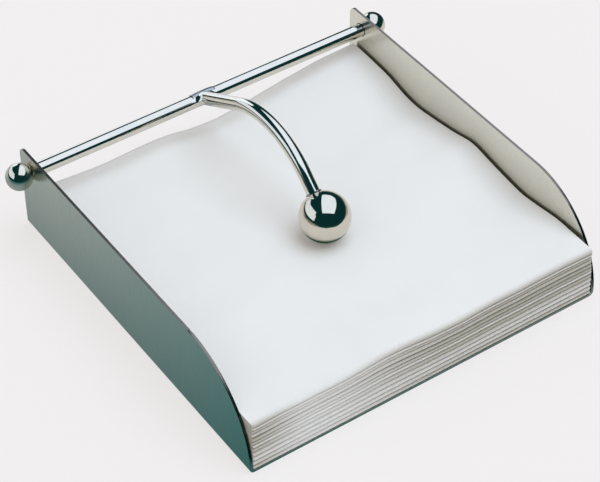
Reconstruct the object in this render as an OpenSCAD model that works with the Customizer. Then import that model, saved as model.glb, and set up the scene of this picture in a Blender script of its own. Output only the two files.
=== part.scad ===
// Napkin holder: a bent steel tray, a pivoting weighted arm, and a pile of folded paper napkins.
// Millimetres. +X runs along the pivot rod, +Y to the rear, +Z up.
// The origin is the middle of the tray's footprint, on the surface that it stands on.

/* [Tray] */
// Width over the two side walls
tray_w = 172; // [120:1:260]
// Depth from the front edge to the rear edge
tray_d = 173; // [150:1:260]
// Thickness of the sheet
sheet_t = 1.2; // [0.8:0.1:2]
// Height of the side walls
wall_h = 43.5; // [40:0.5:60]
// Inside radius of the two long bends
bend_r = 1; // [1:0.1:2.5]
// Radius of the big round at each wall's front
front_round_r = 42; // [25:0.5:43]
// Radius of the small round at each wall's top rear corner
rear_round_r = 3.5; // [1:0.5:6]

/* [Pivot rod] */
// Diameter of the bar that the rod and the arm are made of
bar_dia = 6; // [4:0.1:7]
// Distance of the rod's axis from the tray's rear edge
rod_inset = 8.3; // [7:0.1:16]
// Distance of the rod's axis below the top of the walls
rod_drop = 8.35; // [6:0.05:10]
// Clearance all round the rod in its two holes
rod_play = 0.35; // [0.1:0.05:0.5]
// Gap between the rim of each hole and the ball outside it
end_play = 0.25; // [0.1:0.05:0.8]

/* [End balls] */
// Diameter of the ball on each end of the rod
end_ball_dia = 12; // [10:0.5:16]
// Diameter of the spigots on the ends of the rod and the arm
spigot_dia = 3.4; // [2.5:0.1:3.6]
// Length of the spigots on the ends of the rod
rod_spigot_l = 7; // [4:0.5:8]

/* [Arm] */
// Straight length of the arm from the rod's axis to the bend
arm_start_l = 34.5; // [20:0.5:45]
// Radius of the bend, on the bar's centre line
arm_bend_r = 42; // [30:1:60]
// Angle of the bend
arm_bend_angle = 70; // [55:1:80]
// Straight length from the bend to the middle of the weight ball
arm_tail_l = 18.6; // [15:0.1:30]
// Width of the weld's fillet on the rod
weld_leg = 2; // [1:0.1:3]
// Thickness of the weld's skin over the top of the joint
weld_skin = 0.4; // [0.3:0.05:0.8]

/* [Weight ball] */
// Diameter of the ball that holds the napkins down
weight_ball_dia = 22; // [18:0.5:30]
// Length of the spigot on the end of the arm
arm_spigot_l = 12; // [8:0.5:14]
// Radius of the bead of weld where the arm enters the ball
bead_r = 0.7; // [0.4:0.05:1]

/* [Napkins] */
// Gap between the pile and each side wall
side_gap = 0.5; // [0.3:0.1:4]
// Depth of free floor behind the pile
rear_gap = 4.4; // [1:0.1:20]
// Height of the pile, where it lies flat
pile_h = 24.1; // [12:0.1:26]
// Distance of the pile's front from the tray's front edge
pile_setback = 0; // [0:0.1:4]
// Air between one napkin and the next
napkin_gap = 0.2; // [0.1:0.05:0.3]
// Clearance between the pile and the tray's floor
floor_gap = 0.3; // [0.2:0.05:0.4]
// Clearance between the top napkin and the weight ball
ball_gap = 0.3; // [0.2:0.05:0.4]

/* [Hidden] */

round_fn = 96;
overrun = 1;
spigot_play = 0.05;
// Depth of the balls' bores beyond the ends of the spigots
bore_over = 0.4;
weld_play = 0.02;
weld_lip = 0.15;
// How far the weld reaches back over the rod, against the bar's radius
weld_back_share = 1 / 3;
sheet_color = [0.62, 0.64, 0.63];
polish_color = [0.80, 0.81, 0.80];
paper_color = [0.90, 0.92, 0.94];

bar_r = bar_dia / 2;
rod_y = tray_d / 2 - rod_inset;
rod_z = wall_h - rod_drop;
hole_r = bar_r + rod_play;
spigot_r = spigot_dia / 2;
spigot_bore_r = spigot_r + spigot_play;

end_ball_r = end_ball_dia / 2;
weight_ball_r = weight_ball_dia / 2;

// A bar of this radius meets a ball at this distance from the ball's centre
function seat(ball_r) = sqrt(ball_r * ball_r - bar_r * bar_r);
// Each end ball's middle, from where the ball would touch the rim of its hole, and the rod's shoulders in it
end_ball_x = tray_w / 2 + sqrt(end_ball_r * end_ball_r - hole_r * hole_r) + end_play;
shoulder_x = end_ball_x - seat(end_ball_r);

// The weight ball's centre, out along the arm's first straight and square to it
ball_out = arm_start_l + arm_bend_r * sin(arm_bend_angle) + arm_tail_l * cos(arm_bend_angle);
ball_down = arm_bend_r * (1 - cos(arm_bend_angle)) + arm_tail_l * sin(arm_bend_angle);
reach = sqrt(ball_out * ball_out + ball_down * ball_down);
ball_y = rod_y - reach;

// Sides of the bent bar, and steps along its bend
arm_sides = 32;
arm_bend_steps = 14;

// The pile: each napkin's thickness against the mean, from the bottom up
thickness_shares = [0.9, 1.2, 1.2, 1.3, 1.1, 0.9, 0.8, 0.9, 1.2, 0.8, 0.8, 0.9];
napkin_count = len(thickness_shares);
napkin_mean_t = pile_h / napkin_count;
pile_z = sheet_t + floor_gap;
napkin_w = tray_w - 2 * (sheet_t + side_gap);
napkin_d = tray_d - pile_setback - rear_gap;
pile_front_y = -tray_d / 2 + pile_setback;
pile_mid_y = pile_front_y + napkin_d / 2;
pile_rear_y = pile_front_y + napkin_d;
// How far the folded edges bulge, against a napkin's mean thickness
bulge_share = 0.3;
fold_bulge = bulge_share * napkin_mean_t;
// The waves die away towards the bottom of the pile at this power
wave_power = 1.25;
// Cells of the napkins' mesh: across, in front of the ball, and behind it
cells_x = 10;
cells_front = 4;
cells_rear = 6;
cells_y = cells_front + cells_rear;

// Swells and dips of the top napkin. Each row has the place across and along as shares of
// half a napkin from its middle, the reach across and along in the same shares,
// and the height as a share of the pile's height.
wave_shares = [
    [-1.10, 1.10, 0.90, 0.60, -0.17],
    [-0.58, 1.10, 0.34, 0.70, -0.15],
    [0.55, 1.10, 0.25, 0.60, -0.05],
    [0.10, 1.10, 0.36, 1.00, -0.33],
    [1.05, 0.42, 0.45, 0.24, -0.20],
    [1.00, -0.05, 0.30, 0.12, 0.05],
    [1.00, -0.44, 0.35, 0.16, -0.11],
    [0.00, -1.20, 3.00, 0.40, 0.075],
    [-0.25, -1.00, 0.18, 0.50, 0.05],
    [0.17, -0.95, 0.13, 0.40, -0.025],
    [-0.55, -0.30, 0.20, 0.16, 0.03],
    [-0.75, 0.30, 0.15, 0.50, -0.04]
];
// The dent under the weight ball: its reach and depth, in the same shares
dent_reach_share = 0.27;
dent_depth_share = 0.04;

function total(list) = [for (item = list) 1] * list;
function bump(across, along, row) =
    row[4] * exp(-pow((across - row[0]) / row[2], 2) - pow((along - row[1]) / row[3], 2));
function dent(across, along) =
    bump(across, along,
        [0, (ball_y - pile_mid_y) / (napkin_d / 2), dent_reach_share, dent_reach_share, -dent_depth_share]);
// Height of the top napkin's surface above the flat pile, at a place in the tray
function wave(x, y) =
    let (across = x / (napkin_w / 2), along = (y - pile_mid_y) / (napkin_d / 2))
    pile_h * (dent(across, along) + total([for (row = wave_shares) bump(across, along, row)]));
// Height of the boundary above the napkin with this number, 0 being the bottom of the pile
function boundary_flat(number) =
    number == 0 ? 0 : napkin_mean_t * total([for (i = [0 : number - 1]) thickness_shares[i]]);
function boundary(x, y, number) =
    pile_z + boundary_flat(number) + wave(x, y) * pow(boundary_flat(number) / pile_h, wave_power);

// The ball's height on the dented pile turns the arm to this angle above the table
ball_z = boundary(0, ball_y, napkin_count) + ball_gap + weight_ball_r;
arm_angle = asin((ball_z - rod_z) / reach) + atan2(ball_down, ball_out);

// The tray seen from the front: a channel with two round bends
module rounded_base(width, height, radius) {
    translate([-width / 2, radius])
        square([width, height - radius]);
    translate([-width / 2 + radius, 0])
        square([width - 2 * radius, radius + overrun]);
    for (side = [-1, 1])
        translate([side * (width / 2 - radius), radius])
            circle(r = radius, $fn = round_fn);
}

module channel() {
    difference() {
        rounded_base(tray_w, wall_h, bend_r + sheet_t);
        translate([0, sheet_t])
            rounded_base(tray_w - 2 * sheet_t, wall_h, bend_r);
    }
}

// The corner that a round of this radius takes off, at the origin, rising to the left
module corner_waste(radius) {
    difference() {
        translate([-overrun, 0])
            square([radius + overrun, radius + overrun]);
        translate([radius, 0])
            circle(r = radius, $fn = round_fn);
    }
}

// The tray seen from its left-hand side, with +X to the rear
module side_outline() {
    difference() {
        translate([-tray_d / 2, 0])
            square([tray_d, wall_h]);
        translate([-tray_d / 2, wall_h - front_round_r])
            corner_waste(front_round_r);
        translate([tray_d / 2, wall_h - rear_round_r])
            mirror([1, 0])
                corner_waste(rear_round_r);
    }
}

module tray() {
    color(sheet_color)
    difference() {
        intersection() {
            translate([0, tray_d / 2, 0])
                rotate([90, 0, 0])
                    linear_extrude(height = tray_d)
                        channel();
            translate([-tray_w / 2 - overrun, 0, 0])
                rotate([90, 0, 90])
                    linear_extrude(height = tray_w + 2 * overrun)
                        side_outline();
        }
        translate([-tray_w / 2 - overrun, rod_y, rod_z])
            rotate([0, 90, 0])
                cylinder(r = hole_r, h = tray_w + 2 * overrun, $fn = round_fn);
    }
}

// A bar along +X, centred on the rod's axis
module bar_along_x(radius, half_length) {
    translate([-half_length, rod_y, rod_z])
        rotate([0, 90, 0])
            cylinder(r = radius, h = 2 * half_length, $fn = round_fn);
}

module pivot_rod() {
    color(polish_color)
    union() {
        bar_along_x(bar_r, shoulder_x);
        bar_along_x(spigot_r, shoulder_x + rod_spigot_l);
    }
}

// A ball with its seat and its blind bore facing +Z
module bored_ball(radius, bore_l) {
    difference() {
        sphere(r = radius, $fn = round_fn);
        translate([0, 0, seat(radius)])
            cylinder(r = bar_r + overrun, h = radius, $fn = round_fn);
        translate([0, 0, seat(radius) - bore_l])
            cylinder(r = spigot_bore_r, h = bore_l + radius, $fn = round_fn);
    }
}

module end_ball(side) {
    color(polish_color)
    translate([side * end_ball_x, rod_y, rod_z])
        rotate([0, -side * 90, 0])
            bored_ball(end_ball_r, rod_spigot_l + bore_over);
}

module left_end_ball() {
    end_ball(-1);
}

module right_end_ball() {
    end_ball(1);
}

// Puts its children in the arm's plane: +X forward along the arm's first straight,
// +Y square to it and up, with the rod's axis at the origin
module in_arm_plane() {
    translate([0, rod_y, rod_z])
        rotate([-arm_angle, 0, 0])
            rotate([90, 0, -90])
                children();
}

// Puts its children at the weight ball, with +Z pointing back up the arm's tail
module at_weight_ball() {
    in_arm_plane()
        translate([ball_out, -ball_down, 0])
            rotate([0, 0, -arm_bend_angle])
                rotate([0, -90, 0])
                    children();
}

module arm_first_straight(radius, length) {
    in_arm_plane()
        rotate([0, 90, 0])
            cylinder(r = radius, h = length, $fn = round_fn);
}

// The bar's centre line in the arm's plane, as rows of place out, place up and slope.
// It leaves the rod straight, bends down, and runs straight to its seat on the weight ball.
arm_stations = concat(
    [[0, 0, 0]],
    [
        for (k = [0 : arm_bend_steps])
            let (slope = -arm_bend_angle * k / arm_bend_steps)
            [arm_start_l - arm_bend_r * sin(slope), -arm_bend_r * (1 - cos(slope)), slope]
    ],
    [[ball_out - seat(weight_ball_r) * cos(arm_bend_angle), -ball_down + seat(weight_ball_r) * sin(arm_bend_angle),
        -arm_bend_angle]]
);
function arm_ring(station) = [
    for (k = [0 : arm_sides - 1])
        let (turn = 360 * (k + 1 / 2) / arm_sides, up = bar_r * cos(turn))
        [station[0] - up * sin(station[2]), station[1] + up * cos(station[2]), bar_r * sin(turn)]
];

module bent_bar() {
    ring_n = len(arm_stations);
    last = (ring_n - 1) * arm_sides;
    sides = [
        for (ring = [0 : ring_n - 2])
            for (k = [0 : arm_sides - 1])
                let (a = ring * arm_sides + k, b = ring * arm_sides + (k + 1) % arm_sides)
                for (face = [[a, b + arm_sides, b], [a, a + arm_sides, b + arm_sides]])
                    face
    ];
    start_cap = [for (k = [0 : arm_sides - 1]) k];
    end_cap = [for (k = [0 : arm_sides - 1]) last + arm_sides - 1 - k];
    polyhedron(
        points = [for (station = arm_stations) for (point = arm_ring(station)) point],
        faces = concat(sides, [start_cap], [end_cap])
    );
}

module arm() {
    color(polish_color)
    union() {
        difference() {
            in_arm_plane()
                bent_bar();
            bar_along_x(bar_r, 2 * bar_r);
        }
        at_weight_ball()
            translate([0, 0, seat(weight_ball_r) - arm_spigot_l])
                cylinder(r = spigot_r, h = arm_spigot_l + bar_r, $fn = round_fn);
    }
}

// The weld fills the corner between the two bars and laps over the top of the joint
module arm_weld() {
    weld_end = bar_r + weld_leg;
    weld_start = -weld_back_share * bar_r;
    weld_l = weld_end - weld_start;
    color(polish_color)
    difference() {
        in_arm_plane()
            intersection() {
                translate([weld_start, 0, 0])
                    rotate([0, 90, 0])
                        cylinder(r1 = bar_r + weld_lip + weld_l, r2 = bar_r + weld_lip, h = weld_l, $fn = round_fn);
                translate([weld_start, -bar_r - weld_skin, -weld_end])
                    cube([weld_l, 2 * (bar_r + weld_skin), 2 * weld_end]);
            }
        arm_first_straight(bar_r, arm_start_l);
        bar_along_x(bar_r + weld_play, 2 * weld_end);
    }
}

module weight_ball() {
    color(polish_color)
    at_weight_ball()
        bored_ball(weight_ball_r, arm_spigot_l + bore_over);
}

module ball_weld() {
    color(polish_color)
    at_weight_ball()
        difference() {
            translate([0, 0, seat(weight_ball_r)])
                rotate_extrude($fn = round_fn)
                    translate([bar_r, 0])
                        circle(r = bead_r, $fn = round_fn);
            sphere(r = weight_ball_r, $fn = round_fn);
            cylinder(r = bar_r, h = 2 * weight_ball_r, $fn = round_fn);
        }
}

// Places of the napkins' mesh lines. One line across the tray passes under the weight ball.
function mesh_x(i) = napkin_w * (i / cells_x - 1 / 2);
function mesh_y(j) =
    j < cells_front
        ? pile_front_y + (ball_y - pile_front_y) * j / cells_front
        : ball_y + (pile_rear_y - ball_y) * (j - cells_front) / cells_rear;
// The same places with the outermost lines drawn in, for the rounded folds
function drawn_in(value, low, high, by) = min(max(value, low + by), high - by);
function layer_point(i, j, by) = [
    drawn_in(mesh_x(i), -napkin_w / 2, napkin_w / 2, by),
    drawn_in(mesh_y(j), pile_front_y, pile_rear_y, by)
];
// The mesh lines that run once round the napkin's edge, counter-clockwise from above
function rim() = concat(
    [for (i = [0 : cells_x - 1]) [i, 0]],
    [for (j = [0 : cells_y - 1]) [cells_x, j]],
    [for (i = [0 : cells_x - 1]) [cells_x - i, cells_y]],
    [for (j = [0 : cells_y - 1]) [0, cells_y - j]]
);

// One folded napkin between two boundaries of the pile, counted from 1 at the bottom
module napkin(number) {
    grid_n = (cells_x + 1) * (cells_y + 1);
    rim_cells = rim();
    rim_n = len(rim_cells);
    function grid_index(cell) = cell[1] * (cells_x + 1) + cell[0];
    function face_points(number, lift) = [
        for (j = [0 : cells_y])
            for (i = [0 : cells_x])
                let (at = layer_point(i, j, fold_bulge))
                [at[0], at[1], boundary(mesh_x(i), mesh_y(j), number) + lift]
    ];
    bottom = face_points(number - 1, napkin_gap / 2);
    top = face_points(number, -napkin_gap / 2);
    middle = [
        for (cell = rim_cells)
            let (at = layer_point(cell[0], cell[1], 0), index = grid_index(cell))
            [at[0], at[1], (bottom[index][2] + top[index][2]) / 2]
    ];
    cell_corners = [
        for (j = [0 : cells_y - 1])
            for (i = [0 : cells_x - 1])
                [grid_index([i, j]), grid_index([i + 1, j]), grid_index([i + 1, j + 1]), grid_index([i, j + 1])]
    ];
    bottom_faces = [
        for (c = cell_corners)
            for (face = [[c[0], c[1], c[2]], [c[0], c[2], c[3]]])
                face
    ];
    top_faces = [
        for (c = cell_corners)
            for (face = [[c[0], c[2], c[1]], [c[0], c[3], c[2]]])
                [for (index = face) index + grid_n]
    ];
    rim_faces = [
        for (k = [0 : rim_n - 1])
            let (
                next = (k + 1) % rim_n,
                b0 = grid_index(rim_cells[k]),
                b1 = grid_index(rim_cells[next]),
                m0 = 2 * grid_n + k,
                m1 = 2 * grid_n + next
            )
            for (face = [
                [b0, m0, m1], [b0, m1, b1],
                [m0, b0 + grid_n, b1 + grid_n], [m0, b1 + grid_n, m1]
            ])
                face
    ];
    color(paper_color)
    polyhedron(points = concat(bottom, top, middle), faces = concat(bottom_faces, top_faces, rim_faces));
}

function napkin_name(number) = str("napkin_", number < 10 ? "0" : "", number);

tray();
pivot_rod();
left_end_ball();
right_end_ball();
arm();
arm_weld();
weight_ball();
ball_weld();
for (number = [1 : napkin_count])
    napkin(number);
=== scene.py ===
"""The looks of the napkin holder: a brushed tray, polished arm and balls, and folded paper napkins."""
import math
import random
from collections import namedtuple

import bpy
import numpy as np
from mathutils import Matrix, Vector


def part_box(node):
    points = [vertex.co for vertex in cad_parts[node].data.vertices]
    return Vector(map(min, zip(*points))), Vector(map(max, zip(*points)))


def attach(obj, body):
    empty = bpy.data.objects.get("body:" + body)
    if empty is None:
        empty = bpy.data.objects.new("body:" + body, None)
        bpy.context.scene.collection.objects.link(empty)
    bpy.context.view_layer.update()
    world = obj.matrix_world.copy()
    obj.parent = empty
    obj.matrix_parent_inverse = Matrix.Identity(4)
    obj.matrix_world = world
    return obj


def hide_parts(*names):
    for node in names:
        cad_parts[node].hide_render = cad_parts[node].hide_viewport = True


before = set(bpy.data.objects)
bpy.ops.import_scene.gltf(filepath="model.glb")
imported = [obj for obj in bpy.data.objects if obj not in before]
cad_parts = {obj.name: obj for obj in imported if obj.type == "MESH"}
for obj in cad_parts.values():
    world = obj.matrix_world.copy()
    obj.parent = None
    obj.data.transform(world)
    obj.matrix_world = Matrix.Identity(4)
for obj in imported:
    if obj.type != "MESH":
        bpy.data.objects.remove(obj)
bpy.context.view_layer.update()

MM = 0.001

# The tray, the rod and the balls, read from the frame
TRAY_LOW, TRAY_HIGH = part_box("tray")
TRAY_W = TRAY_HIGH.x - TRAY_LOW.x
TRAY_D = TRAY_HIGH.y - TRAY_LOW.y
ROD_LOW, ROD_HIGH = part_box("pivot_rod")
BAR_R = (ROD_HIGH.z - ROD_LOW.z) / 2
ROD_Y = (ROD_LOW.y + ROD_HIGH.y) / 2
ROD_Z = (ROD_LOW.z + ROD_HIGH.z) / 2
BALL_LOW, BALL_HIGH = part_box("weight_ball")
BALL_R = (BALL_HIGH.z - BALL_LOW.z) / 2
BALL_Y = (BALL_LOW.y + BALL_HIGH.y) / 2
BALL_Z = (BALL_LOW.z + BALL_HIGH.z) / 2
END_LOW, END_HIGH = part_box("left_end_ball")
END_R = (END_HIGH.z - END_LOW.z) / 2
END_X = -END_LOW.x - END_R

# The rest of the sizes are the construction's own values
SHEET_T = 1.2 * MM
SPIGOT_R = 1.7 * MM
ROD_SPIGOT_L = 7 * MM
ARM_START_L = 34.5 * MM
ARM_BEND_R = 42 * MM
ARM_BEND = math.radians(70)
ARM_TAIL_L = 18.6 * MM
SIDE_GAP = 0.5 * MM
REAR_GAP = 4.4 * MM
PILE_H = 24.1 * MM
FLOOR_GAP = 0.3 * MM
NAPKIN_GAP = 0.16 * MM

BALL_OUT = ARM_START_L + ARM_BEND_R * math.sin(ARM_BEND) + ARM_TAIL_L * math.cos(ARM_BEND)
BALL_DOWN = ARM_BEND_R * (1 - math.cos(ARM_BEND)) + ARM_TAIL_L * math.sin(ARM_BEND)
ARM_ANGLE = math.atan2(BALL_Z - ROD_Z, ROD_Y - BALL_Y) + math.atan2(BALL_DOWN, BALL_OUT)


def seat(ball_r):
    """How far from a ball's middle a bar meets it."""
    return math.sqrt(ball_r ** 2 - BAR_R ** 2)


SHOULDER_X = END_X - seat(END_R)

# The pile of napkins, with the same heights as its CAD solids
THICKNESS_SHARES = (0.9, 1.2, 1.2, 1.3, 1.1, 0.9, 0.8, 0.9, 1.2, 0.8, 0.8, 0.9)
NAPKIN_COUNT = len(THICKNESS_SHARES)
NAPKIN_MEAN_T = PILE_H / NAPKIN_COUNT
EDGE_SPARE = 0.1 * MM
NAPKIN_W = TRAY_W - 2 * (SHEET_T + SIDE_GAP) - 2 * EDGE_SPARE
NAPKIN_D = TRAY_D - REAR_GAP
PILE_Z = SHEET_T + FLOOR_GAP
PILE_FRONT_Y = TRAY_LOW.y
PILE_MID_Y = PILE_FRONT_Y + NAPKIN_D / 2
WAVE_POWER = 1.25
# Across and along as shares of half a napkin, reach across and along, height as a share of the pile's
WAVE_SHARES = (
    (-1.10, 1.10, 0.90, 0.60, -0.17),
    (-0.58, 1.10, 0.34, 0.70, -0.15),
    (0.55, 1.10, 0.25, 0.60, -0.05),
    (0.10, 1.10, 0.36, 1.00, -0.33),
    (1.05, 0.42, 0.45, 0.24, -0.20),
    (1.00, -0.05, 0.30, 0.12, 0.05),
    (1.00, -0.44, 0.35, 0.16, -0.11),
    (0.00, -1.20, 3.00, 0.40, 0.075),
    (-0.25, -1.00, 0.18, 0.50, 0.05),
    (0.17, -0.95, 0.13, 0.40, -0.025),
    (-0.55, -0.30, 0.20, 0.16, 0.03),
    (-0.75, 0.30, 0.15, 0.50, -0.04),
)
DENT_REACH_SHARE = 0.27
DENT_DEPTH_SHARE = 0.04

# Colours of the set
FLOOR_TONE = (0.885, 0.868, 0.872)
ROOM_TONE = (0.004, 0.036, 0.040)
FAR_TONE = (1.25, 1.36, 1.52)
FILL_TONE = (0.605, 0.56, 0.52)


# Camera

CAMERA_AT = Vector((-370.6, -530.3, 618.9)) * MM
CAMERA_AIM = Vector((-6.83, -5.82, 18.0)) * MM
SENSOR_W = 36
IMAGE_W = 600
FOCAL_PX = 2105.7


def make_camera():
    data = bpy.data.cameras.new("camera")
    data.sensor_width = SENSOR_W
    data.lens = FOCAL_PX * SENSOR_W / IMAGE_W
    data.clip_start = 0.01
    data.clip_end = 20
    camera = bpy.data.objects.new("camera", data)
    camera.location = CAMERA_AT
    camera.rotation_mode = "QUATERNION"
    camera.rotation_quaternion = (CAMERA_AIM - CAMERA_AT).to_track_quat("-Z", "Y")
    bpy.context.scene.collection.objects.link(camera)
    bpy.context.scene.camera = camera


# Shader nodes

class Nodes:
    """A node tree, with short calls for making and linking nodes."""

    def __init__(self, tree, output):
        self.tree = tree
        self.tree.nodes.clear()
        self.output = self.node(output)

    def node(self, kind, values=None, links=None, **settings):
        made = self.tree.nodes.new("ShaderNode" + kind)
        for name, value in settings.items():
            setattr(made, name, value)
        for socket, value in (values or {}).items():
            made.inputs[socket].default_value = value
        for socket, source in (links or {}).items():
            self.tree.links.new(source, made.inputs[socket])
        return made

    def calc(self, operation, *terms):
        """A Math node's result. Each term is a number or a link."""
        made = self.node("Math", operation=operation)
        for k, term in enumerate(terms):
            if isinstance(term, (int, float)):
                made.inputs[k].default_value = term
            else:
                self.tree.links.new(term, made.inputs[k])
        return made.outputs[0]

    def surface(self, shader):
        self.tree.links.new(shader.outputs[0], self.output.inputs["Surface"])


class Shader(Nodes):
    """A material's node tree."""

    def __init__(self, name):
        self.material = bpy.data.materials.new(name)
        self.material.use_nodes = True
        super().__init__(self.material.node_tree, "OutputMaterial")

    def place(self):
        return self.node("TexCoord").outputs["Object"]

    def axes(self, vector):
        return self.node("SeparateXYZ", links={"Vector": vector}).outputs

    def attribute(self, name):
        return self.node("Attribute", attribute_name=name).outputs["Fac"]

    def noise(self, place, scale, detail, stretch=(1, 1, 1)):
        """Noise of this many waves a metre, drawn out along the axes whose stretch is small."""
        scaled = self.node("Mapping", {"Scale": stretch}, {"Vector": place})
        values = {"Scale": scale, "Detail": detail, "Roughness": 0.6}
        return self.node("TexNoise", values, {"Vector": scaled.outputs["Vector"]}).outputs["Fac"]

    def remap(self, value, low, high, to_low, to_high):
        """Goes from to_low to to_high as the value goes from low to high, and stays there beyond."""
        values = {"From Min": low, "From Max": high, "To Min": to_low, "To Max": to_high}
        return self.node("MapRange", values, {"Value": value}).outputs["Result"]

    def blend(self, share, first, second):
        """Colour that goes from the first to the second with the share. Either may be a link."""
        made = self.node("Mix", data_type="RGBA")
        self.tree.links.new(share, made.inputs["Factor"])
        # For colours, the node's inputs are numbers 6 and 7 and its output is number 2
        for socket, colour in ((6, first), (7, second)):
            if isinstance(colour, tuple):
                made.inputs[socket].default_value = (*colour, 1)
            else:
                self.tree.links.new(colour, made.inputs[socket])
        return made.outputs[2]

    def bump(self, height, distance, strength, under=None):
        links = {"Height": height}
        if under is not None:
            links["Normal"] = under
        return self.node("Bump", {"Distance": distance, "Strength": strength}, links).outputs["Normal"]

    def principled(self, values, links):
        self.surface(self.node("BsdfPrincipled", values, links))
        return self.material


def brushed_steel():
    """Satin sheet. The grain runs across the sheet, so it stands upright on the walls. Its cut edges carry
    a painted dark reflection, chosen by which way they face.
    """
    s = Shader("brushed_steel")
    place = s.place()
    across = (1, 40, 1)
    deep, pale, cloudy = (0.71, 0.68, 0.59), (0.79, 0.755, 0.66), (0.67, 0.655, 0.60)
    grain = s.noise(place, scale=60, detail=4, stretch=across)
    fine = s.noise(place, scale=170, detail=2, stretch=across)
    cloud = s.noise(place, scale=22, detail=3)
    tone = s.blend(s.remap(grain, 0.3, 0.7, 0, 1), deep, pale)
    tone = s.blend(s.remap(cloud, 0.35, 0.7, 0, 0.3), tone, cloudy)
    facing = s.axes(s.node("TexCoord").outputs["Normal"])["Z"]
    wall_from, wall_whole = 2.5 * MM, 3.5 * MM
    on_wall = s.remap(s.axes(place)["Z"], wall_from, wall_whole, 0, 1)
    # Painted dark reflection and shade on the cut edges: near black on the sloping ones, dark grey on the
    # level top ones.
    sloping_cut_painted_dark = (0.05, 0.15, (0.07, 0.105, 0.09))
    level_cut_painted_dark = (0.72, 0.84, (0.23, 0.20, 0.175))
    for low, high, painted_cut_tone in (sloping_cut_painted_dark, level_cut_painted_dark):
        cut = s.calc("MULTIPLY", s.remap(facing, low, high, 0, 1), on_wall)
        tone = s.blend(cut, tone, painted_cut_tone)
    rough = s.remap(fine, 0.3, 0.7, 0.19, 0.29)
    grained = s.bump(grain, distance=0.03 * MM, strength=0.22)
    normal = s.bump(fine, distance=0.02 * MM, strength=0.2, under=grained)
    spread = s.node("CombineXYZ", {"Y": 1.0}).outputs["Vector"]
    return s.principled(
        {"Metallic": 1.0, "Anisotropic": 0.7},
        {"Base Color": tone, "Roughness": rough, "Normal": normal, "Tangent": spread},
    )


def polished_steel(name, along, clean, smeared):
    """Mirror finish with the slight waviness and hairlines of hand polishing."""
    s = Shader(name)
    place = s.place()
    wavy = s.noise(place, scale=90, detail=1)
    hairs = s.noise(place, scale=900, detail=3, stretch=along)
    smear = s.noise(place, scale=140, detail=3)
    blur = s.noise(place, scale=260, detail=4)
    tone = s.blend(s.remap(smear, 0.4, 0.7, 0, 1), clean, smeared)
    rough = s.remap(blur, 0.35, 0.75, 0.035, 0.085)
    waved = s.bump(wavy, distance=0.05 * MM, strength=0.12)
    normal = s.bump(hairs, distance=0.004 * MM, strength=0.2, under=waved)
    return s.principled({"Metallic": 1.0}, {"Base Color": tone, "Roughness": rough, "Normal": normal})


def weld_steel():
    """Weld metal: ground and polished in the fillets, satin where it laps over, with a painted dark
    reflection at the ends of the lap, and a darker bead at the ball.
    """
    s = Shader("weld_steel")
    place = s.place()
    polished, bead_and_seam_dark_tone = (0.74, 0.70, 0.63), (0.02, 0.05, 0.05)
    dark_satin, pale_satin = (0.375, 0.39, 0.41), (0.435, 0.445, 0.45)
    lumps = s.noise(place, scale=420, detail=2)
    pits = s.noise(place, scale=2600, detail=3)
    satin = s.attribute("satin")
    dull = s.blend(s.remap(lumps, 0.35, 0.65, 0, 1), dark_satin, pale_satin)
    tone = s.blend(satin, polished, dull)
    # Painted dark reflection at the ends of the lap, and the ball's bead made darker all round.
    tone = s.blend(s.attribute("dark_bead_and_painted_seam"), tone, bead_and_seam_dark_tone)
    rough = s.remap(satin, 0, 1, 0.06, 0.27)
    lumpy = s.bump(lumps, distance=0.05 * MM, strength=0.2)
    normal = s.bump(pits, distance=0.01 * MM, strength=0.2, under=lumpy)
    return s.principled({"Metallic": 1.0}, {"Base Color": tone, "Roughness": rough, "Normal": normal})


def painted_mirrored_shadow(s, place):
    """Painted contact shadow where the paper lies by the wall or under the weight ball, only for light
    that metal mirrors straight to the eye."""
    contact = (0, BALL_Y, BALL_Z - BALL_R)
    ball_core, ball_reach = 9 * MM, 12 * MM
    wall_reach, wall_core, wall_share = 3.5 * MM, 0.5 * MM, 0.30
    away = s.node("VectorMath", {1: contact}, {0: place}, operation="DISTANCE").outputs["Value"]
    under_ball = s.remap(away, ball_core, ball_reach, 1, 0)
    aside = s.calc("ABSOLUTE", s.axes(place)["X"])
    by_wall = s.remap(aside, NAPKIN_W / 2 - wall_reach, NAPKIN_W / 2 - wall_core, 0, wall_share)
    path = s.node("LightPath").outputs
    mirrored = s.calc("GREATER_THAN", path["Is Glossy Ray"], path["Diffuse Depth"])
    return s.calc("MULTIPLY", s.calc("MAXIMUM", under_ball, by_wall), mirrored)


def tissue_paper():
    """Soft white tissue with a fine crepe. Painted shade darkens and warms it where one napkin lies on the
    next, and a painted contact shadow shows in reflections.
    """
    s = Shader("tissue_paper")
    place = s.place()
    white, brighter, fibre_tone = (0.80, 0.82, 0.835), (0.83, 0.845, 0.86), (0.77, 0.785, 0.795)
    fold_shade_tone, contact_shadow_tone = (0.33, 0.32, 0.26), (0.055, 0.15, 0.115)
    crepe = s.noise(place, scale=900, detail=3, stretch=(1, 0.35, 1))
    fibres = s.noise(place, scale=3800, detail=4)
    cloud = s.noise(place, scale=30, detail=3)
    tone = s.blend(s.remap(cloud, 0.3, 0.7, 0, 1), white, brighter)
    tone = s.blend(s.remap(fibres, 0.35, 0.65, 0, 0.35), tone, fibre_tone)
    # Painted shade between the leaves, along the front and at the left side, from the vertex values.
    tone = s.blend(s.attribute("painted_fold_shade"), tone, fold_shade_tone)
    tone = s.blend(painted_mirrored_shadow(s, place), tone, contact_shadow_tone)
    creped = s.bump(crepe, distance=0.06 * MM, strength=0.3)
    normal = s.bump(fibres, distance=0.03 * MM, strength=0.25, under=creped)
    return s.principled(
        {"Roughness": 0.92, "Specular IOR Level": 0.2, "Sheen Weight": 0.08, "Sheen Roughness": 0.6},
        {"Base Color": tone, "Normal": normal},
    )


# Meshes

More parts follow.
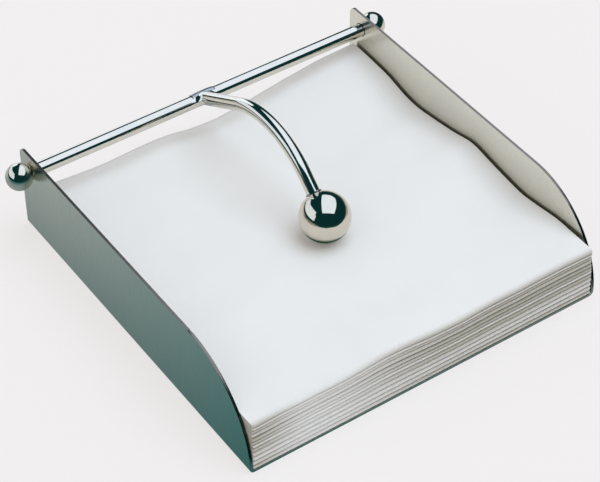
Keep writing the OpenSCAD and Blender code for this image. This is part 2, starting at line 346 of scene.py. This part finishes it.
def mesh_object(name, points, faces, material, body, nodes, smooth_angle=None):
    """A piece that rides on a body and stands for the CAD nodes named."""
    mesh = bpy.data.meshes.new(name)
    mesh.from_pydata([tuple(p) for p in points], [], [tuple(f) for f in faces])
    mesh.validate()
    mesh.materials.append(material)
    mesh.shade_smooth()
    if smooth_angle is not None:
        mesh.set_sharp_from_angle(angle=smooth_angle)
    piece = bpy.data.objects.new(name, mesh)
    bpy.context.scene.collection.objects.link(piece)
    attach(piece, body)
    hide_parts(*nodes)
    return piece


def vertex_values(piece, name, values):
    """Values at the vertices, which the piece's material reads."""
    attribute = piece.data.attributes.new(name, "FLOAT", "POINT")
    attribute.data.foreach_set("value", np.array(values, np.float32))


def strip_faces(rows, sides, first=0, closed=True):
    """Faces between rings of points that lie one after another."""
    faces = []
    for row in range(rows - 1):
        for k in range(sides if closed else sides - 1):
            a = first + row * sides + k
            b = first + row * sides + (k + 1) % sides
            faces.append((a, b, b + sides, a + sides))
    return faces


def lathe(profile, origin, axis, sides=128):
    """Points and faces of a solid turned from (distance along, radius) pairs, which start and end on
    the axis."""
    axis = Vector(axis).normalized()
    side = axis.orthogonal().normalized()
    other = axis.cross(side)
    points = [Vector(origin) + axis * profile[0][0]]
    for along, radius in profile[1:-1]:
        for k in range(sides):
            turn = 2 * math.pi * k / sides
            outward = side * math.cos(turn) + other * math.sin(turn)
            points.append(Vector(origin) + axis * along + outward * radius)
    points.append(Vector(origin) + axis * profile[-1][0])
    rings = len(profile) - 2
    faces = strip_faces(rings, sides, first=1)
    last = len(points) - 1
    start = 1 + (rings - 1) * sides
    for k in range(sides):
        faces.append((0, 1 + (k + 1) % sides, 1 + k))
        faces.append((last, start + k, start + (k + 1) % sides))
    return points, faces


def arc(radius, start, end, steps):
    """(along, radius) pairs on an arc about the origin, angles in radians from the axis."""
    angles = [start + (end - start) * k / steps for k in range(steps + 1)]
    return [(radius * math.cos(a), radius * math.sin(a)) for a in angles]


# Rod and balls

# Edges that turn by more than this stay sharp
CREASE = math.radians(40)


def make_rod(material):
    chamfer = 0.25 * MM
    tip_gap = 0.1 * MM
    tip = SHOULDER_X + ROD_SPIGOT_L - tip_gap
    half = [
        (tip, 0),
        (tip, SPIGOT_R - chamfer),
        (tip - chamfer, SPIGOT_R),
        (SHOULDER_X + chamfer / 5, SPIGOT_R),
        (SHOULDER_X, BAR_R - chamfer),
        (SHOULDER_X - chamfer, BAR_R),
    ]
    body_end, body_stations = SHOULDER_X - 2 * chamfer, 49
    body = [(x, BAR_R) for x in np.linspace(body_end, -body_end, body_stations)]
    profile = half + body + [(-x, r) for x, r in reversed(half)]
    points, faces = lathe(profile, (0, ROD_Y, ROD_Z), (1, 0, 0), sides=96)
    mesh_object("pivot_rod_bar", points, faces, material, "arm", ["pivot_rod"], CREASE)


def ball_profile(radius, lip):
    """A ball with a turned lip round the seat where the bar enters it, at the positive end of the axis."""
    opening = math.asin((BAR_R + lip) / radius)
    flat = radius * math.cos(opening)
    clearance = 0.03 * MM
    inner = BAR_R + clearance
    pole_gap = 0.002
    rim = [(flat - lip, 0), (flat - lip, inner), (flat - lip / 2, inner + lip / 4)]
    return rim + arc(radius, opening, math.pi - pole_gap, steps=96) + [(-radius, 0)]


def make_end_ball(name, side, material):
    profile = ball_profile(END_R, lip=0.2 * MM)
    points, faces = lathe(profile, (side * END_X, ROD_Y, ROD_Z), (-side, 0, 0))
    mesh_object(name + "_turned", points, faces, material, "arm", [name], CREASE)


# Arm

def arm_point(out, up, across=0.0):
    """A place in the arm's plane, out along its first straight and square to it, in the row frame."""
    return Vector((
        across,
        ROD_Y - out * math.cos(ARM_ANGLE) + up * math.sin(ARM_ANGLE),
        ROD_Z + out * math.sin(ARM_ANGLE) + up * math.cos(ARM_ANGLE),
    ))


def arm_stations():
    """(out, up, slope) along the arm's centre line, from the rod to the weight ball."""
    start_steps, bend_steps, tail_steps = 12, 72, 5
    found = [(ARM_START_L * k / start_steps, 0.0, 0.0) for k in range(1, start_steps)]
    for k in range(bend_steps + 1):
        slope = -ARM_BEND * k / bend_steps
        out = ARM_START_L - ARM_BEND_R * math.sin(slope)
        found.append((out, -ARM_BEND_R * (1 - math.cos(slope)), slope))
    tail = ARM_TAIL_L - seat(BALL_R)
    out, up, slope = found[-1]
    for k in range(1, tail_steps + 1):
        step = tail * k / tail_steps
        found.append((out + step * math.cos(slope), up + step * math.sin(slope), slope))
    return found


def make_arm(material):
    """The bent bar. Its first ring is coped to the rod."""
    sides = 64
    turns = [2 * math.pi * (k + 0.5) / sides for k in range(sides)]
    cope_share = 0.97
    points = [
        arm_point(BAR_R * abs(math.sin(t)) * cope_share, BAR_R * math.cos(t), BAR_R * math.sin(t))
        for t in turns
    ]
    stations = arm_stations()
    for out, up, slope in stations:
        for turn in turns:
            lift = BAR_R * math.cos(turn)
            points.append(
                arm_point(out - lift * math.sin(slope), up + lift * math.cos(slope), BAR_R * math.sin(turn))
            )
    faces = strip_faces(len(stations) + 1, sides)
    points.append(arm_point(0, 0))
    start = len(points) - 1
    faces += [(start, (k + 1) % sides, k) for k in range(sides)]
    last_ring = len(stations) * sides
    faces.append(tuple(last_ring + k for k in range(sides)))
    mesh_object("arm_bar", points, faces, material, "arm", ["arm"], CREASE)


def fillet_patch(side, radius, points, faces):
    """One side of the rolled fillet between rod and arm, as a grid round the joint."""
    round_steps, arc_steps = 72, 14
    half_round = 89.5
    proud = 0.01 * MM
    reach = BAR_R + radius
    first = len(points)
    for i in range(round_steps + 1):
        turn = math.radians(-half_round + 2 * half_round * i / round_steps)
        middle = Vector((side * reach * math.cos(turn), reach * math.cos(turn), reach * math.sin(turn)))
        to_rod = Vector((0, -math.cos(turn), -math.sin(turn)))
        to_arm = Vector((-side * math.cos(turn), 0, -math.sin(turn)))
        for j in range(arc_steps + 1):
            p = middle + to_rod.slerp(to_arm, j / arc_steps) * (radius + proud)
            points.append(arm_point(p.y, p.z, p.x))
    faces += strip_faces(round_steps + 1, arc_steps + 1, first, closed=False)


def saddle_patch(half_l, half_turn, height, points, faces, at_painted_seam):
    """Weld metal lapping over the rod behind the joint: a low swelling on the rod's surface."""
    steps_l, steps_turn = 40, 30
    sunk = 0.02 * MM
    facing = math.radians(100)
    uneven, painted_seam_from = 0.12, 0.93
    first = len(points)
    for i in range(steps_l + 1):
        share_l = 2 * i / steps_l - 1
        for j in range(steps_turn + 1):
            share_t = 2 * j / steps_turn - 1
            swell = math.sqrt(max(0.0, 1 - share_l ** 6)) * (1 - share_t ** 4) ** 2
            swell *= 1 + uneven * math.sin(3.1 * share_l + 1) * math.cos(2.3 * share_t)
            radius = BAR_R - sunk + height * swell
            turn = facing + half_turn * share_t
            points.append(arm_point(radius * math.cos(turn), radius * math.sin(turn), half_l * share_l))
            # The ends of the lap get a painted dark reflection, where the surface turns away.
            at_painted_seam.append(1.0 if abs(share_l) > painted_seam_from else 0.0)
    faces += strip_faces(steps_l + 1, steps_turn + 1, first, closed=False)


def make_arm_weld(material):
    fillet_r = 4.6 * MM
    points, faces, at_painted_seam = [], [], []
    for side in (1, -1):
        fillet_patch(side, fillet_r, points, faces)
    polished = len(points)
    half_l, half_turn, height = 6.0 * MM, math.radians(66), 0.42 * MM
    saddle_patch(half_l, half_turn, height, points, faces, at_painted_seam)
    piece = mesh_object("arm_weld_fillet", points, faces, material, "arm", ["arm_weld"])
    vertex_values(piece, "satin", [0.0] * polished + [1.0] * len(at_painted_seam))
    vertex_values(piece, "dark_bead_and_painted_seam", [0.0] * polished + at_painted_seam)


def tail_frame():
    """The weight ball's middle, and the arm's tail direction from it with two directions square to that."""
    slope = -ARM_BEND
    middle = arm_point(BALL_OUT, -BALL_DOWN)
    back = arm_point(BALL_OUT - math.cos(slope), -BALL_DOWN - math.sin(slope)) - middle
    side = Vector((1, 0, 0))
    return middle, back.normalized(), side, back.normalized().cross(side)


def make_weight_ball(material):
    middle, back, _, _ = tail_frame()
    points, faces = lathe(ball_profile(BALL_R, lip=0.25 * MM), middle, back, sides=160)
    nodes = ["weight_ball"]
    mesh_object("weight_ball_turned", points, faces, material, "arm", nodes, CREASE)


def make_ball_weld(material):
    """An uneven bead of weld round the arm where it enters the ball."""
    middle, back, side, other = tail_frame()
    around, sides = 120, 20
    mean_bead, uneven, flatness = 0.56 * MM, 0.5, 0.8
    sunk, lift, most_shift = 0.2 * MM, 0.1 * MM, 0.18 * MM
    satin, dark_bead_and_painted_seam = 0.3, 0.45
    points = []
    for i in range(around):
        turn = 2 * math.pi * i / around
        lump = 0.8 * math.sin(2 * turn + 2.48) + 0.2 * math.sin(5 * turn + 2.1)
        bead = mean_bead * (1 + uneven * lump)
        shift = most_shift * math.sin(4 * turn + 1.3)
        outward = side * math.cos(turn) + other * math.sin(turn)
        for k in range(sides):
            round_it = 2 * math.pi * k / sides
            radius = BAR_R - sunk + bead * math.cos(round_it)
            along = seat(BALL_R) + lift + shift + flatness * bead * math.sin(round_it)
            points.append(middle + back * along + outward * radius)
    faces = []
    for i in range(around):
        here, there = i * sides, (i + 1) % around * sides
        for k in range(sides):
            beside = (k + 1) % sides
            faces.append((here + k, here + beside, there + beside, there + k))
    piece = mesh_object("ball_weld_bead", points, faces, material, "arm", ["ball_weld"])
    # The whole bead is made darker through the same attribute as the painted seam.
    vertex_values(piece, "satin", [satin] * len(points))
    vertex_values(piece, "dark_bead_and_painted_seam", [dark_bead_and_painted_seam] * len(points))


# Napkins

# How one napkin lies: its shift and skew, the depth of its fold, the rounding of its front corners,
# how far its right front corner is drawn in, and the least painted shade in its fold
Lie = namedtuple("Lie", "shift_x shift_y skew fold_r round_r taper shade")


def swell_share(across, along, row):
    """What one row of WAVE_SHARES adds to the height there."""
    mid_across, mid_along, reach_across, reach_along, height = row
    away_across = (across - mid_across) / reach_across
    away_along = (along - mid_along) / reach_along
    return height * np.exp(-away_across ** 2 - away_along ** 2)


def ripples(x, y):
    """Small soft unevenness of tissue, a sum of long waves in many directions."""
    draw = random.Random(11)
    waves, shortest, longest = 14, 14, 46
    steepness = 0.0022
    height = np.zeros(np.broadcast(x, y).shape)
    for _ in range(waves):
        length = draw.uniform(shortest, longest) * MM
        heading = draw.uniform(0, math.pi)
        phase = draw.uniform(0, 2 * math.pi)
        rise = steepness * length
        height += rise * np.sin(
            2 * math.pi / length * (x * math.cos(heading) + y * math.sin(heading)) + phase
        )
    return height


def wave(x, y):
    """Height of the top napkin's surface above the flat pile."""
    across, along = x / (NAPKIN_W / 2), (y - PILE_MID_Y) / (NAPKIN_D / 2)
    ball_along = (BALL_Y - PILE_MID_Y) / (NAPKIN_D / 2)
    dent = (0, ball_along, DENT_REACH_SHARE, DENT_REACH_SHARE, -DENT_DEPTH_SHARE)
    total = sum(swell_share(across, along, row) for row in (*WAVE_SHARES, dent))
    return PILE_H * total + ripples(x, y)


def boundary(x, y, number):
    """Height of the boundary above the napkin with this number, counted from 1 at the bottom."""
    flat = NAPKIN_MEAN_T * sum(THICKNESS_SHARES[:number])
    return PILE_Z + flat + wave(x, y) * (flat / PILE_H) ** WAVE_POWER


def ribbon_path(low, high, fold_r, steps):
    """One face of a leaf pair that is folded at the front: (distance from the front, share of the
    thickness) from the rear of the lower leaf, round the fold, to the rear of the upper one."""
    fold_steps = 12
    reach = fold_r * (high - low)
    start = fold_r - reach
    straight = [NAPKIN_D + (fold_r - NAPKIN_D) * k / steps for k in range(steps)]
    path = [(v, low) for v in straight]
    for k in range(fold_steps + 1):
        turn = math.pi * (k / fold_steps - 0.5)
        height = (low + high) / 2 + (high - low) / 2 * math.sin(turn)
        path.append((start + reach * (1 - math.cos(turn)), height))
    path += [(v, high) for v in reversed(straight)]
    return path


def leaf_stations(steps):
    """Distances from the napkin's left edge, closer together near both edges."""
    near_edge = [k * MM for k in (0, 0.1, 0.3, 0.6, 1.0, 1.5, 2.1, 2.8, 3.5)]
    margin = 4.2 * MM
    inner = np.linspace(margin, NAPKIN_W - margin, steps)
    return near_edge + list(inner) + [NAPKIN_W - e for e in reversed(near_edge)]


def fold_shade_strength(across, number):
    """How strongly a napkin's folds get painted shade at this share of its width: least on the left."""
    least_shade_at, least_shade = 0.15, 0.34
    reach = 0.10 if across < least_shade_at else 0.27
    near_least_shade = math.exp(-((across - least_shade_at) / reach) ** 2)
    most_shade_by_third = (1.05, 1.34, 1.24)
    most_shade = most_shade_by_third[(number - 1) * 3 // NAPKIN_COUNT]
    return most_shade + (least_shade - most_shade) * near_least_shade


def fold_shade_share(v, w, station, number, shade):
    """Painted shade on the paper, as a share towards the fold shade tone: in the gaps between leaves, along
    the top napkin's front and on the left side, at these distances from the front and shares of the
    thickness."""
    front_shade_most, front_depth = 0.62, 1.1 * MM
    left_side_shade, side_depth = 0.75, 0.4 * MM
    upper_face = 0.97
    shade_strength = fold_shade_strength(station / NAPKIN_W, number)
    painted_shade = (np.clip(np.abs(2 * w - 1), 0, 1) ** 3 * (1 - shade) + shade) * shade_strength
    if number == NAPKIN_COUNT:
        front = front_shade_most * min(1.0, shade_strength) * np.exp(-(v / front_depth) ** 2)
        painted_shade = np.where(w > 0.5, front, np.maximum(front, painted_shade))
    to_edge = min(station, NAPKIN_W - station)
    side_shade = left_side_shade if station < NAPKIN_W / 2 else 0.0
    side_shade_here = side_shade * max(0.0, 1 - to_edge / side_depth)
    return np.where(w < upper_face, np.maximum(painted_shade, side_shade_here), painted_shade)


def leaf_row(station, v, w, number, lie):
    """Points of one face of a leaf pair at one distance from the napkin's left edge."""
    to_edge = min(station, NAPKIN_W - station)
    into_round = max(0.0, lie.round_r - to_edge)
    setback = lie.round_r - math.sqrt(lie.round_r ** 2 - into_round ** 2)
    round_depth, taper_depth = 3 * lie.round_r, 25 * MM
    drawn_in = lie.taper * (station / NAPKIN_W) ** 6 * np.clip(1 - v / taper_depth, 0, 1) ** 2
    x0 = station - NAPKIN_W / 2
    y0 = PILE_FRONT_Y + v + setback * np.clip(1 - v / round_depth, 0, 1)
    x = x0 + lie.shift_x - lie.skew * (y0 - PILE_MID_Y) - drawn_in
    y = y0 + lie.shift_y + lie.skew * x0
    low = boundary(x, y, number - 1) + NAPKIN_GAP / 2
    high = boundary(x, y, number) - NAPKIN_GAP / 2
    return zip(x, y, low + (high - low) * w)


def leaf_faces(first, count, stations):
    """Faces of a closed sheet whose rows each hold an outside and a lining of this many points."""
    faces = []
    row = 2 * count
    for i in range(stations - 1):
        a, b = first + i * row, first + (i + 1) * row
        for k in range(count - 1):
            faces.append((a + k, b + k, b + k + 1, a + k + 1))
            faces.append((a + count + k, a + count + k + 1, b + count + k + 1, b + count + k))
        faces.append((a, a + count, b + count, b))
        faces.append((a + count - 1, b + count - 1, b + row - 1, a + row - 1))
    end = first + (stations - 1) * row
    for k in range(count - 1):
        faces.append((first + k, first + k + 1, first + count + k + 1, first + count + k))
        faces.append((end + k, end + count + k, end + count + k + 1, end + k + 1))
    return faces


def make_leaf_pair(outer, leaf, number, lie, steps, points, faces, painted_fold_shade):
    """Two leaves joined by the fold at the front, as one closed sheet. outer is the share of the
    thickness at which its outside starts, leaf the share that a leaf takes, and steps the numbers of
    steps along and across."""
    along_steps, across_steps = steps
    outside = ribbon_path(outer, 1 - outer, lie.fold_r, along_steps)
    lining = ribbon_path(outer + leaf, 1 - outer - leaf, lie.fold_r, along_steps)
    stations = leaf_stations(across_steps)
    end_pinch = 0.3
    first = len(points)
    for station in stations:
        at_end = min(station, NAPKIN_W - station) == 0
        pinch = end_pinch if at_end else 0.0
        for path, partner in ((outside, lining), (lining, outside)):
            v = np.array([a[0] * (1 - pinch) + b[0] * pinch for a, b in zip(path, partner)])
            w = np.array([a[1] * (1 - pinch) + b[1] * pinch for a, b in zip(path, partner)])
            points.extend(leaf_row(station, v, w, number, lie))
            painted_fold_shade.extend(fold_shade_share(v, w, station, number, lie.shade))
    faces += leaf_faces(first, len(outside), len(stations))


def make_napkin(number, material, draw):
    name = f"napkin_{number:02d}"
    most_overhang, overhanging = 0.35, 7
    overhang = most_overhang * max(0.0, 1 - (number - 1) / overhanging)
    shift_x = draw.uniform(-0.33, -0.23) * MM
    shift_y = (draw.uniform(-0.1, 0.2) - overhang) * MM
    skew = draw.uniform(-0.0005, 0.0005)
    shade = draw.uniform(0.18, 0.60)
    fold_r = 0.5 * NAPKIN_MEAN_T * THICKNESS_SHARES[number - 1]
    round_r = (0.4 + 0.5 * number / NAPKIN_COUNT) * MM
    taper = (1.2 * number / NAPKIN_COUNT - 0.3) * MM
    lie = Lie(shift_x, shift_y, skew, fold_r, round_r, taper, shade)
    points, faces, painted_fold_shade = [], [], []
    coarse, fine = (30, 44), (96, 96)
    outer_steps = fine if number == NAPKIN_COUNT else coarse
    outer_pair, inner_pair = (0.0, 0.24), (0.26, 0.23)
    make_leaf_pair(*outer_pair, number, lie, outer_steps, points, faces, painted_fold_shade)
    make_leaf_pair(*inner_pair, number, lie, coarse, points, faces, painted_fold_shade)
    piece = mesh_object(name + "_folded", points, faces, material, "napkins", [name])
    vertex_values(piece, "painted_fold_shade", painted_fold_shade)


# Studio

VIEW_TURN = math.radians(34.85)
VIEW_ALONG = Vector((math.sin(VIEW_TURN), math.cos(VIEW_TURN), 0))
VIEW_LEFT = Vector((-math.cos(VIEW_TURN), math.sin(VIEW_TURN), 0))


def stage_object(name, points, faces, material, **seen_by):
    mesh = bpy.data.meshes.new(name)
    mesh.from_pydata([tuple(p) for p in points], [], faces)
    mesh.materials.append(material)
    made = bpy.data.objects.new(name, mesh)
    bpy.context.scene.collection.objects.link(made)
    for ray in ("camera", "diffuse", "glossy", "transmission", "shadow"):
        setattr(made, "visible_" + ray, seen_by.get(ray, False))


def stage_polygon(name, corners, material, **seen_by):
    stage_object(name, corners, [tuple(range(len(corners)))], material, **seen_by)


def ground_square(half):
    return [(-half, -half, 0), (half, -half, 0), (half, half, 0), (-half, half, 0)]


def beyond_paper(s):
    """1 for light on its way to a matt surface, which the plain fill lights, and else 0."""
    return s.calc("GREATER_THAN", s.node("LightPath").outputs["Diffuse Depth"], 0.5)


def glow(name, colour):
    """What polished metal mirrors. Matt surfaces that look into the metal get the plain fill from it."""
    s = Shader(name)
    tone = s.blend(beyond_paper(s), colour, FILL_TONE)
    s.surface(s.node("Emission", links={"Color": tone}))
    return s.material


def make_floor():
    s = Shader("floor_paper")
    grain_share, own_light = 0.995, 0.74
    grain = s.noise(s.place(), scale=300, detail=2)
    deeper = tuple(grain_share * c for c in FLOOR_TONE)
    tone = s.blend(s.remap(grain, 0.3, 0.7, 0, 1), FLOOR_TONE, deeper)
    paper = s.node("BsdfDiffuse", links={"Color": tone})
    pale = s.node("Emission", links={"Color": tone})
    seen = s.calc("MULTIPLY", s.node("LightPath").outputs["Is Camera Ray"], own_light)
    s.surface(s.node("MixShader", links={0: seen, 1: paper.outputs[0], 2: pale.outputs[0]}))
    corners = ground_square(half=4.0)
    stage_polygon("floor", corners, s.material, camera=True, diffuse=True, transmission=True)


def far_table(s, x, y):
    """The table behind the tray, by its bearing: beige, dark, pale behind the arm, and dark again."""
    beige = (0.64, 0.61, 0.54)
    beige_end, pale_start, pale_end = (-0.24, -0.20), (-0.06, -0.03), (0.55, 0.65)
    centre_y = 50 * MM
    bearing = s.calc("DIVIDE", x, s.calc("SUBTRACT", y, centre_y))
    tone = s.blend(s.remap(bearing, *beige_end, 1, 0), ROOM_TONE, beige)
    tone = s.blend(s.remap(bearing, *pale_start, 0, 1), tone, FAR_TONE)
    return s.blend(s.remap(bearing, *pale_end, 0, 1), tone, ROOM_TONE)


def make_table():
    """The darker table that the photograph's metal mirrors, under the pale floor that the camera sees."""
    s = Shader("mirrored_glowing_table")
    place = s.place()
    turned = s.node("Mapping", {"Rotation": (0, 0, VIEW_TURN)}, {"Vector": place})
    along = s.axes(turned.outputs["Vector"])["Y"]
    x, y, _ = s.axes(place)
    beside = s.calc("ABSOLUTE", x)
    near_tone, middle_tone, rear_tone = (0.075, 0.235, 0.25), (0.66, 0.70, 0.73), (0.98, 1.0, 1.0)
    foot_shadow_tone, ahead_shadow_tone = (0.04, 0.13, 0.135), (0.012, 0.075, 0.072)
    room_end, to_middle, to_rear, to_far = (-0.6, -0.22), (-0.12, 0.08), (0.08, 0.12), (0.19, 0.30)
    # Painted shadow on the table beside the tray's foot and just in front of the tray.
    foot_shadow_reach, foot_shadow_share = 22 * MM, 0.4
    ahead_whole, ahead_end = TRAY_LOW.y - 12 * MM, TRAY_LOW.y - 1 * MM
    tone = s.blend(s.remap(along, *to_middle, 0, 1), near_tone, middle_tone)
    tone = s.blend(s.remap(along, *room_end, 1, 0), tone, ROOM_TONE)
    painted_foot_shadow = s.remap(beside, TRAY_W / 2, TRAY_W / 2 + foot_shadow_reach, foot_shadow_share, 0)
    tone = s.blend(painted_foot_shadow, tone, foot_shadow_tone)
    tone = s.blend(s.remap(along, *to_rear, 0, 1), tone, rear_tone)
    tone = s.blend(s.remap(along, *to_far, 0, 1), tone, far_table(s, x, y))
    painted_ahead_shadow = s.remap(y, ahead_whole, ahead_end, 1, 0)
    tone = s.blend(painted_ahead_shadow, tone, ahead_shadow_tone)
    tone = s.blend(beyond_paper(s), tone, FLOOR_TONE)
    # The table glows with these tones rather than being lit: painted light that only reflections show.
    s.surface(s.node("Emission", {"Strength": 0.81}, {"Color": tone}))
    stage_polygon("mirrored_glowing_table", ground_square(half=2.3), s.material, glossy=True)


def make_dome():
    """The dark room round the set. Only reflections show it."""
    rings, sides, radius = 16, 48, 2.2
    points = []
    for i in range(rings):
        rise = math.pi / 2 * i / rings
        for k in range(sides):
            turn = 2 * math.pi * k / sides
            points.append((
                radius * math.cos(rise) * math.cos(turn),
                radius * math.cos(rise) * math.sin(turn),
                radius * math.sin(rise),
            ))
    points.append((0, 0, radius))
    faces = strip_faces(rings, sides)
    top = (rings - 1) * sides
    faces += [(top + k, top + (k + 1) % sides, len(points) - 1) for k in range(sides)]
    stage_object("dark_room", points, faces, glow("dark_room", ROOM_TONE), glossy=True)


def make_far_glowing_card():
    """A pale card far behind the set, which the top of the arm mirrors. It glows: painted light that only
    reflections show.
    """
    distance = 1.9
    outline = [(-0.06, 0), (0.80, 0), (0.78, 0.30), (0.55, 1.0), (-0.06, 1.0)]
    corners = [(x, distance, z) for x, z in outline]
    stage_polygon("far_glowing_card", corners, glow("far_glowing_card", FAR_TONE), glossy=True)


def make_softboxes():
    """The two soft lights as the polished balls mirror them: a long one overhead, one on the left."""
    overhead_tone, left_tone = (1.05, 1.20, 1.42), (0.93, 1.06, 1.20)
    height = 0.52
    reach = [(1.45, -0.95), (1.80, -0.60), (1.80, 0.24), (-0.65, 0.24), (-0.65, -0.95)]
    corners = [
        (VIEW_ALONG * along + VIEW_LEFT * left) * height + Vector((0, BALL_Y, BALL_Z + height))
        for along, left in reach
    ]
    stage_polygon("softbox_overhead", corners, glow("softbox_overhead", overhead_tone), glossy=True)
    distance = 0.6
    outline = [
        (1.25, 0.02), (-0.90, 0.27), (-0.88, 0.83), (-0.66, 0.88), (-0.61, 1.18), (0.51, 0.64), (1.24, 0.52)
    ]
    corners = [
        (VIEW_ALONG * along + VIEW_LEFT + Vector((0, 0, up))) * distance + Vector((0, BALL_Y, BALL_Z))
        for along, up in outline
    ]
    stage_polygon("softbox_left", corners, glow("softbox_left", left_tone), glossy=True)


def make_lamp(name, toward, angle, strength, colour):
    """A distant soft lamp in this direction, as wide as the angle in degrees. Reflections show the
    softboxes instead."""
    data = bpy.data.lights.new(name, "SUN")
    data.angle = math.radians(angle)
    data.energy = strength
    data.color = colour
    lamp = bpy.data.objects.new(name, data)
    lamp.rotation_mode = "QUATERNION"
    lamp.rotation_quaternion = Vector(toward).to_track_quat("Z", "Y")
    lamp.visible_glossy = False
    bpy.context.scene.collection.objects.link(lamp)


def make_world():
    """Pale behind the floor for the camera and for mirrors, and a plain soft fill for the rest."""
    world = bpy.data.worlds.new("studio")
    bpy.context.scene.world = world
    world.use_nodes = True
    w = Nodes(world.node_tree, "OutputWorld")
    path = w.node("LightPath").outputs
    either = w.calc("MAXIMUM", path["Is Camera Ray"], path["Is Glossy Ray"])
    shown = w.calc("MAXIMUM", either, path["Is Transmission Ray"])
    fill = w.node("Background", {"Color": (*FILL_TONE, 1)})
    pale = w.node("Background", {"Color": (*FLOOR_TONE, 1)})
    w.surface(w.node("MixShader", links={0: shown, 1: fill.outputs[0], 2: pale.outputs[0]}))


def make_studio():
    make_floor()
    make_table()
    make_dome()
    make_far_glowing_card()
    make_softboxes()
    make_lamp("key_overhead", toward=(0.27, -0.20, 1), angle=52, strength=1.37, colour=(0.87, 1.0, 1.11))
    make_lamp("fill_left", toward=(-0.80, -0.25, 0.60), angle=60, strength=0.22, colour=(1.0, 1.0, 1.0))
    make_world()


def dress_tray(material):
    """The tray keeps its CAD mesh. Its cut edges are broken by a hair, as deburring leaves them."""
    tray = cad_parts["tray"]
    tray.data.materials.clear()
    tray.data.materials.append(material)
    weld = tray.modifiers.new("join", "WELD")
    weld.merge_threshold = 0.002 * MM
    bevel = tray.modifiers.new("deburr", "BEVEL")
    bevel.width = 0.18 * MM
    bevel.segments = 2
    bevel.limit_method = "ANGLE"
    bevel.angle_limit = math.radians(50)
    bevel.harden_normals = True


def make_steel():
    dress_tray(brushed_steel())
    bar_steel = polished_steel(
        "polished_bar_steel", along=(0.05, 1, 1), clean=(0.74, 0.70, 0.62), smeared=(0.685, 0.655, 0.59)
    )
    ball_steel = polished_steel(
        "polished_ball_steel", along=(1, 1, 1), clean=(0.71, 0.655, 0.56), smeared=(0.655, 0.61, 0.53)
    )
    weld = weld_steel()
    make_rod(bar_steel)
    make_end_ball("left_end_ball", -1, ball_steel)
    make_end_ball("right_end_ball", 1, ball_steel)
    make_arm(bar_steel)
    make_arm_weld(weld)
    make_weight_ball(ball_steel)
    make_ball_weld(weld)


def make_pile():
    paper = tissue_paper()
    draw = random.Random(5)
    for number in range(1, NAPKIN_COUNT + 1):
        make_napkin(number, paper, draw)


make_camera()
make_studio()
make_steel()
make_pile()

bpy.context.scene.view_settings.view_transform = "Standard"
